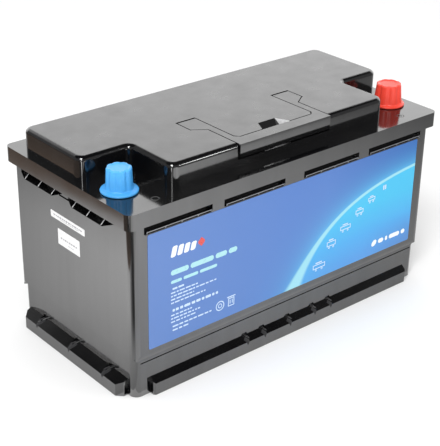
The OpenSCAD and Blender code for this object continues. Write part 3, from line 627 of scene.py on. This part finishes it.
def mesh_piece(name, bm, material, body, smooth=True):
    """A piece made in mesh code, riding on a body."""
    o = mesh_object(name, bm)
    for f in o.data.polygons:
        f.use_smooth = smooth
    o.data.materials.append(material)
    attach(o, body)
    return o


# ---------------------------------------------------------------- studio

def aim(o, target):
    """Turn an object so that its -Z axis points at the target."""
    o.rotation_euler = (Vector(target) - o.location).to_track_quat("-Z", "Y").to_euler()


def make_camera():
    """The photograph's view: round and above the target, with a slight roll."""
    az, el, roll = (math.radians(v) for v in (AZIMUTH, ELEVATION, ROLL))
    back = Vector((math.sin(az) * math.cos(el), -math.cos(az) * math.cos(el), math.sin(el)))
    side = Vector((math.cos(az), math.sin(az), 0.0))
    up = back.cross(side)
    x = side * math.cos(roll) + up * math.sin(roll)
    y = up * math.cos(roll) - side * math.sin(roll)
    data = bpy.data.cameras.new("camera")
    data.lens = LENS
    data.sensor_width = SENSOR
    data.clip_start, data.clip_end = 0.01, 50.0
    cam = bpy.data.objects.new("camera", data)
    bpy.context.collection.objects.link(cam)
    turn = Matrix((x, y, back)).transposed().to_4x4()
    turn.translation = TARGET + back * DISTANCE
    cam.matrix_world = turn
    bpy.context.scene.camera = cam


def area_light(name, place, target, size, power):
    """A rectangular softbox that looks at the target; size is its width and height."""
    data = bpy.data.lights.new(name, "AREA")
    data.shape = "RECTANGLE"
    data.size, data.size_y = size
    data.energy = power
    o = bpy.data.objects.new(name, data)
    o.location = place
    aim(o, target)
    bpy.context.collection.objects.link(o)
    return o


def corner_wedge(p, x, y):
    """Painted shade and painted highlight seen only in reflections: a dark wedge that runs out from the
    object's near corner, standing in for the shade of the camera side, and a bright streak farther out along
    it.
    """
    out_x, out_y = p.math("SUBTRACT", x, WEDGE_AT[0]), p.math("SUBTRACT", y, WEDGE_AT[1])
    along = p.math("ADD", p.math("MULTIPLY", out_x, WEDGE_WAY[0]), p.math("MULTIPLY", out_y, WEDGE_WAY[1]))
    across = p.math("ADD", p.math("MULTIPLY", out_x, WEDGE_WAY[1]), p.math("MULTIPLY", out_y, -WEDGE_WAY[0]))
    spread = p.math("DIVIDE", p.math("ABSOLUTE", across), p.math("MAXIMUM", along, 0.001))
    wedge = p.math("MULTIPLY", p.span(along, 0.045, 0.13, smooth=True),
                   p.span(spread, 0.10, 0.80, 1.0, 0.0, smooth=True))
    streak = p.math("MULTIPLY", p.span(along, 0.33, 0.36), p.span(spread, 0.04, 0.09, 1.0, 0.0, smooth=True))
    return wedge, streak


def floor_level(p, x, y):
    """How bright the floor mirrors: fading to the right and back, dimmer in front, at the left, and far out
    to the front right."""
    left, front = CAD_BOX[0][0], CAD_BOX[0][1]
    fade = p.math("ADD", p.math("MULTIPLY", p.math("MAXIMUM", x, 0.0), 3.1),
                  p.math("MULTIPLY", p.math("MAXIMUM", y, 0.0), 3.77))
    level = p.math("MAXIMUM", p.math("SUBTRACT", BACKDROP, fade), 0.6)
    in_front = p.math("MULTIPLY", p.math("LESS_THAN", y, front), p.span(y, -0.31, front, 0.175, 0.36))
    far_right = p.math("MULTIPLY", p.span(y, -0.386, -0.362, 0.50, 0.0), p.span(x, 0.19, 0.24))
    at_left = p.math("MULTIPLY", p.math("LESS_THAN", x, left), p.span(x, -0.30, left, 0.0, 0.5))
    dim = p.math("MAXIMUM", p.math("MAXIMUM", in_front, far_right), at_left)
    return p.math("MULTIPLY", level, p.math("SUBTRACT", 1.0, dim))


def make_floor():
    """Pale sweep under the object. Glossy rays see it brighter, as under strong studio flash, and brown far
    out to the left."""
    p = Paint("sweep", FLOOR, 0.9)
    x, y, _ = p.xyz()
    line = p.math("SUBTRACT", x, p.math("MULTIPLY", y, 0.085))
    near = p.span(line, -0.383, -0.373, smooth=True)
    brown = p.mix(p.span(line, -0.425, -0.383), (0.20, 0.155, 0.125), (0.42, 0.30, 0.235))
    wedge, streak = corner_wedge(p, x, y)
    mirror = p.mix(near, brown, floor_level(p, x, y))
    # Painted shade: the dark wedge in what glossy rays see.
    mirror = p.mix(p.math("MULTIPLY", wedge, 0.95), mirror, (0.06, 0.06, 0.06))
    # Painted highlight: the glowing streak, brighter than white.
    mirror = p.mix(streak, mirror, (4.0, 4.0, 4.0))
    diffuse = p.node("ShaderNodeBsdfDiffuse")
    ray = p.node("ShaderNodeLightPath")
    p.put(diffuse.inputs["Color"], p.mix(ray.outputs["Is Glossy Ray"], FLOOR, mirror))
    p.put(p.surface, diffuse.outputs[0])
    bm = bmesh.new()
    bmesh.ops.create_circle(bm, cap_ends=True, segments=96, radius=6.0)
    o = mesh_object("floor", bm)
    o.data.materials.append(p.mat)
    o.location.z = CAD_BOX[0][2] - 0.0002


def make_world():
    """Plain white room. Glossy rays see a bright backdrop behind, and dark above and in front."""
    world = bpy.data.worlds.new("room")
    world.use_nodes = True
    w = Nodes(world.node_tree, "Generated")
    low = w.span(w.xyz()[2], 0.52, 0.70, 1.0, 0.02, smooth=True)
    toward = w.node("ShaderNodeVectorMath", operation="DOT_PRODUCT")
    w.put(toward.inputs[0], w.at)
    w.put(toward.inputs[1], BACKDROP_WAY)
    behind = w.span(toward.outputs["Value"], 0.30, 0.62, 0.12, 1.0, smooth=True)
    level = w.node("ShaderNodeMix", data_type="FLOAT")
    w.put(level.inputs[0], w.node("ShaderNodeLightPath").outputs["Is Glossy Ray"])
    w.put(level.inputs[2], ROOM_LIGHT)
    w.put(level.inputs[3], w.math("MULTIPLY", w.math("MULTIPLY", low, behind), BACKDROP))
    back = w.node("ShaderNodeBackground")
    w.put(back.inputs["Color"], (1, 1, 1, 1))
    w.put(back.inputs["Strength"], level.outputs[0])
    w.put(w.node("ShaderNodeOutputWorld").inputs["Surface"], back.outputs[0])
    bpy.context.scene.world = world


def make_studio():
    """Camera, floor, room and lights."""
    make_camera()
    make_floor()
    make_world()
    area_light("softbox_left", (-1.2, -0.9, 1.7), target=(0, 0, 0.1), size=(0.7, 0.7), power=26.0)
    area_light("softbox_right", (1.00, -1.47, 0.71), target=(0, -0.07, 0.18), size=(0.14, 0.24), power=1.9)
    strip = area_light("strip_left", (-1.04, -0.94, 0.78), target=(-0.12, -0.05, 0.18), size=(0.09, 0.45),
                       power=3.4)
    strip.visible_diffuse = False
    scene = bpy.context.scene
    scene.view_settings.view_transform = "Standard"
    scene.view_settings.look = "None"


# ---------------------------------------------------------------- the object

def step_edge(edge):
    """The two edges of the wall's sloped step are blended wide."""
    heights = [v.co.z / MM for v in edge.verts]
    level = any(all(abs(z - h) < 0.05 for z in heights) for h in (STEP_FOOT, STEP_HEAD))
    outer = all(abs(v.co.x) > OUTER_X * MM or abs(v.co.y) > OUTER_Y * MM for v in edge.verts)
    return STEP_SHARE if level and outer else 0.0


def steep_end_step(v):
    """On the ends the foot of the sloped step sits close under its head; it runs down round the corner."""
    x, y, z = (abs(k) / MM for k in v.co)
    out = x - CORNER_X
    if abs(z - STEP_FOOT) < 0.05 and out > -0.05 and math.hypot(out, max(y - CORNER_Y, 0.0)) > CORNER_R - 0.2:
        v.co.z += STEP_LIFT * MM * min(1.0, out / CORNER_R) ** 3


def cap_profile(post_r, disc, base_r, top_r, high):
    """Section of a cap from its foot up the outside, over the crown and down the middle to the inside:
    radius, height, and how far the grooves are worked out there."""
    inner, brow = post_r + CAP_PLAY, high - 1.3
    foot = [(inner, 0.0, 0), (disc - 0.25, 0.0, 0), (disc, 0.25, 0), (disc, 1.15, 0), (disc - 0.3, 1.6, 0),
            (disc - 1.3, 1.95, 0), (base_r + 0.9, 2.15, 0.2), (base_r + 0.25, 2.5, 0.5), (base_r, 3.3, 0.9)]
    wall = [(base_r + (top_r - base_r) * k, 3.3 + (brow - 3.3) * k, 1.0) for k in (0.25, 0.5, 0.75, 1.0)]
    crown = [(top_r - 0.15, brow + 0.65, 1.0), (top_r - 0.6, brow + 1.1, 1.0),
             (top_r - 1.2, brow + 1.3, 0.95), (top_r - 2.0, brow + 1.15, 0.8),
             (top_r - 2.7, brow + 0.75, 0.5), (top_r - 3.6, brow + 0.5, 0.1),
             (top_r * 0.3, brow + 0.45, 0), (0.0, brow + 0.45, 0)]
    roof = [(0.0, brow - 1.4, 0), (inner - 1.9, brow - 1.4, 0), (inner - 1.0, brow - 2.2, 0)]
    return foot + wall + crown + roof


def cap_shell(node, name, post_r, base_r, top_r):
    """A terminal cap in mesh code: disc foot, petal-shaped grip with eight grooves, crown-like upper edge."""
    lo, hi = (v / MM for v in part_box(node))
    centre = Vector(((lo.x + hi.x) / 2, (lo.y + hi.y) / 2, lo.z))
    bm = bmesh.new()
    rings = []
    for r, z, groove in cap_profile(post_r, (hi.x - lo.x) / 2, base_r, top_r, hi.z - lo.z):
        ring = []
        for i in range(CAP_STEPS if r else 1):
            t = 2 * math.pi * i / CAP_STEPS
            reach = r + groove * (CAP_PETAL - CAP_GROOVE * abs(math.cos(4 * t)) ** 5)
            ring.append(bm.verts.new((centre + Vector((reach * math.cos(t), reach * math.sin(t), z))) * MM))
        rings.append(ring)
    for a, b in zip(rings, rings[1:] + rings[:1]):
        if len(a) == len(b) == 1:
            continue
        for i in range(CAP_STEPS):
            j = i + 1
            corners = (a[i % len(a)], b[i % len(b)], b[j % len(b)], a[j % len(a)])
            bm.faces.new(list(dict.fromkeys(corners)))
    bmesh.ops.recalc_face_normals(bm, faces=bm.faces)
    o = mesh_piece(name, bm, MATERIALS[SLOT[node]], BODY[node])
    smooth_corners(o.data, 50.0)
    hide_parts(node)


def dress_cad_nodes():
    """Every carried-over CAD node takes its slot's material."""
    for name, o in frame["nodes"].items():
        mat = MATERIALS[SLOT[name]]
        if not o.material_slots:
            o.data.materials.append(mat)
        for s in o.material_slots:
            s.link = "OBJECT"
            s.material = mat


# ---------------------------------------------------------------- print on the films

def bar(u0, v0, u1, v1, cut=0.22, lean=0.0):
    """Outline of a bar with cut corners; lean slides its upper side along u."""
    c = cut * min(u1 - u0, v1 - v0)
    points = [(u0 + c, v0), (u1 - c, v0), (u1, v0 + c), (u1, v1 - c), (u1 - c, v1), (u0 + c, v1),
              (u0, v1 - c), (u0, v0 + c)]
    return [(u + lean * (v - v0), v) for u, v in points]


def dashes(rng, u0, u1, v, high, longest, gap):
    """A row of small dashes with uneven lengths."""
    out, u = [], u0
    while u < u1 - 0.6 * high:
        end = min(u1, u + rng.uniform(0.35, 1.0) * longest)
        out.append(bar(u, v, end, v + high))
        u = end + gap * rng.uniform(0.7, 1.2)
    return out


def words(u0, v, high, widths, gap=2.4):
    """A row of plain rounded bars, one for each group of characters."""
    out, u = [], u0
    for wide in widths:
        out.append(bar(u, v, u + wide, v + high, 0.3))
        u += wide + gap
    return out


def circle_band(u, v, outer, width, steps=28):
    """A ring as a strip of four-sided patches."""
    ring = []
    for i in range(steps):
        a, b = (2 * math.pi * k / steps for k in (i, i + 1))
        ring.append([(u + r * math.cos(t), v + r * math.sin(t))
                     for r, t in ((outer - width, a), (outer, a), (outer, b), (outer - width, b))])
    return ring


def frame_band(u0, v0, u1, v1, w):
    """A rectangular outline as four mitred strips."""
    outer = [(u0, v0), (u1, v0), (u1, v1), (u0, v1)]
    inner = [(u0 + w, v0 + w), (u1 - w, v0 + w), (u1 - w, v1 - w), (u0 + w, v1 - w)]
    return [[outer[i - 1], outer[i], inner[i], inner[i - 1]] for i in range(4)]


def printed(name, outlines, place, material, body, thick=0.03):
    """Thin closed patches of ink standing on a film; place(u, v, height) gives the point in mm."""
    bm = bmesh.new()
    for outline in outlines:
        bm.faces.new([bm.verts.new(Vector(place(u, v, -thick)) * MM) for u, v in outline])
    bmesh.ops.remove_doubles(bm, verts=bm.verts, dist=0.5 * WELD)
    raised = bmesh.ops.extrude_face_region(bm, geom=bm.faces[:])["geom"]
    step = (Vector(place(0, 0, thick)) - Vector(place(0, 0, -thick))) * MM
    bmesh.ops.translate(bm, vec=step, verts=[g for g in raised if isinstance(g, bmesh.types.BMVert)])
    bmesh.ops.recalc_face_normals(bm, faces=bm.faces)
    mesh_piece(name, bm, material, body, smooth=False)


def pictogram(u, v, wide, high):
    """A plain box on two wheels, with a lid above it."""
    marks = frame_band(u - wide / 2, v - high / 2, u + wide / 2, v + high * 0.18, 0.8)
    marks += [bar(u - wide * 0.3, v + high * 0.3, u + wide * 0.22, v + high * 0.48)]
    for side in (-1, 1):
        marks += circle_band(u + side * wide * 0.24, v - high / 2 - 1.2, 1.1, 0.6, 14)
    return marks


def text_rows(rng):
    """Rows of dashes in place of the small print, from the top down. A row is its start, end and height
    above the foot, how high and how long its dashes are at most, and the gap between them."""
    rows = [(-130, -117, 89.6, 1.6, 6.5, 1.0)]
    for v, end in ((86.3, -104), (83.2, -84.5), (80.1, -108), (77.0, -96)):
        rows.append((-131.6, end, v, 1.15, 5.5, 1.0))
    rows.append((-130, -82.5, 69.4, 2.4, 6.5, 1.2))
    for v, end in ((65.6, -110), (62.5, -101.5), (59.4, -106)):
        rows.append((-131.6, end, v, 1.15, 5.0, 1.0))
    for v, end in ((54.9, -89), (51.4, -112)):
        rows.append((-130, end, v, 1.3, 6.0, 1.1))
    return [mark for row in rows for mark in dashes(rng, *row)]


def label_print():
    """Generic print on the front film: a mark of slanted bars, bars for words, dashes for small print,
    a ring, a bin-like frame, and pictograms that climb beside the sweep."""
    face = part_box("front_label")[0].y / MM
    place = lambda u, v, h: (u, face - h, v)
    bold = [bar(-132 + 6.6 * k, 119.0, -127 + 6.6 * k, 128.5 - 0.7 * k, 0.2, 0.25) for k in range(4)]
    bold += [bar(102, 51.4, 108, 57.6, 0.3, 0.3)] + words(111.5, 52.4, 4.4, (7, 3, 14, 5))
    pale = words(-131.6, 102.8, 4.6, (18, 24, 12, 9), 2.0) + words(-131.6, 95.3, 2.8, (11, 15, 18), 1.8)
    red = [bar(-104.0, 119.8, -97.2, 127.4, 0.45)]
    fine = text_rows(random.Random(5))
    fine += circle_band(-80, 56.5, 4.6, 0.9) + circle_band(-80, 56.5, 2.2, 0.7)
    fine += frame_band(-71.2, 52.4, -64.4, 60.2, 0.8)
    fine += [bar(-72.4, 60.9, -63.2, 61.9), bar(-69.4, 54.6, -68.6, 58.4), bar(-67.0, 54.6, -66.2, 58.4)]
    climbing = ((35, 56, 15, 6.5), (49, 74, 11, 7), (66, 84.5, 13, 6), (83, 95, 10, 6), (98, 103, 9, 5))
    for u, v, wide, high in climbing:
        fine += pictogram(u, v, wide, high)
    fine += [bar(112.4, 106.6, 114.0, 111.2), bar(114.8, 106.6, 116.4, 111.2)]
    for name, marks, color in (("white", bold, (0.80, 0.84, 0.88)), ("pale", pale, (0.36, 0.66, 0.70)),
                               ("fine", fine, (0.52, 0.66, 0.82)), ("red", red, (0.62, 0.05, 0.04))):
        printed("label_print_" + name, marks, place, ink("print_" + name, color), BODY["front_label"])


def sticker_print():
    """Grey dashes and bar code-like strips on the two end stickers."""
    rng = random.Random(9)
    grey = ink("print_grey", (0.30, 0.30, 0.32))
    for node in ("end_strip_sticker", "end_square_sticker"):
        lo, hi = (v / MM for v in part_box(node))
        place = lambda u, v, h: (lo.x - h, u, v)
        wide, high = hi.y - lo.y, hi.z - lo.z
        marks = []
        if wide > 2 * high:
            marks += dashes(rng, lo.y + 4, hi.y - 4, lo.z + 0.42 * high, 1.3, 3.4, 0.9)
            marks += dashes(rng, lo.y + 9, hi.y - 14, lo.z + 0.2 * high, 0.6, 2.2, 0.7)
        else:
            for k in range(5):
                marks += dashes(rng, lo.y + 6, hi.y - 7, lo.z + (0.16 + 0.15 * k) * high, 0.7, 4.0, 0.8)
            for u in (lo.y + 2.2, hi.y - 4.2):
                v = lo.z + 0.24 * high
                while v < lo.z + 0.76 * high:
                    step = rng.choice((0.35, 0.55, 0.8))
                    marks.append(bar(u, v, u + 2.2, v + step, 0.05))
                    v += step + rng.choice((0.3, 0.45))
        printed(node + "_print", marks, place, grey, BODY[node], thick=0.02)


RECORD = frame["record"]
BODY = {n: body for body, nodes in RECORD["behaviour"]["bodies"].items() for n in nodes}
SLOT = {s["node"]: s["material_slot"] for s in RECORD["subparts"]}
MATERIALS = make_materials()
make_studio()
dress_cad_nodes()
rounded("case", "case_shell", 0.6 * MM, 3, soft=step_edge, shape=steep_end_step)
rounded("lid", "lid_shell", 0.6 * MM, 3)
rounded("carry_handle", "handle_shell", 0.45 * MM, 2)
cap_shell("negative_cap", "cap_shell_blue", post_r=8.95, base_r=10.6, top_r=9.9)
cap_shell("positive_cap", "cap_shell_red", post_r=9.75, base_r=12.6, top_r=11.1)
label_print()
sticker_print()
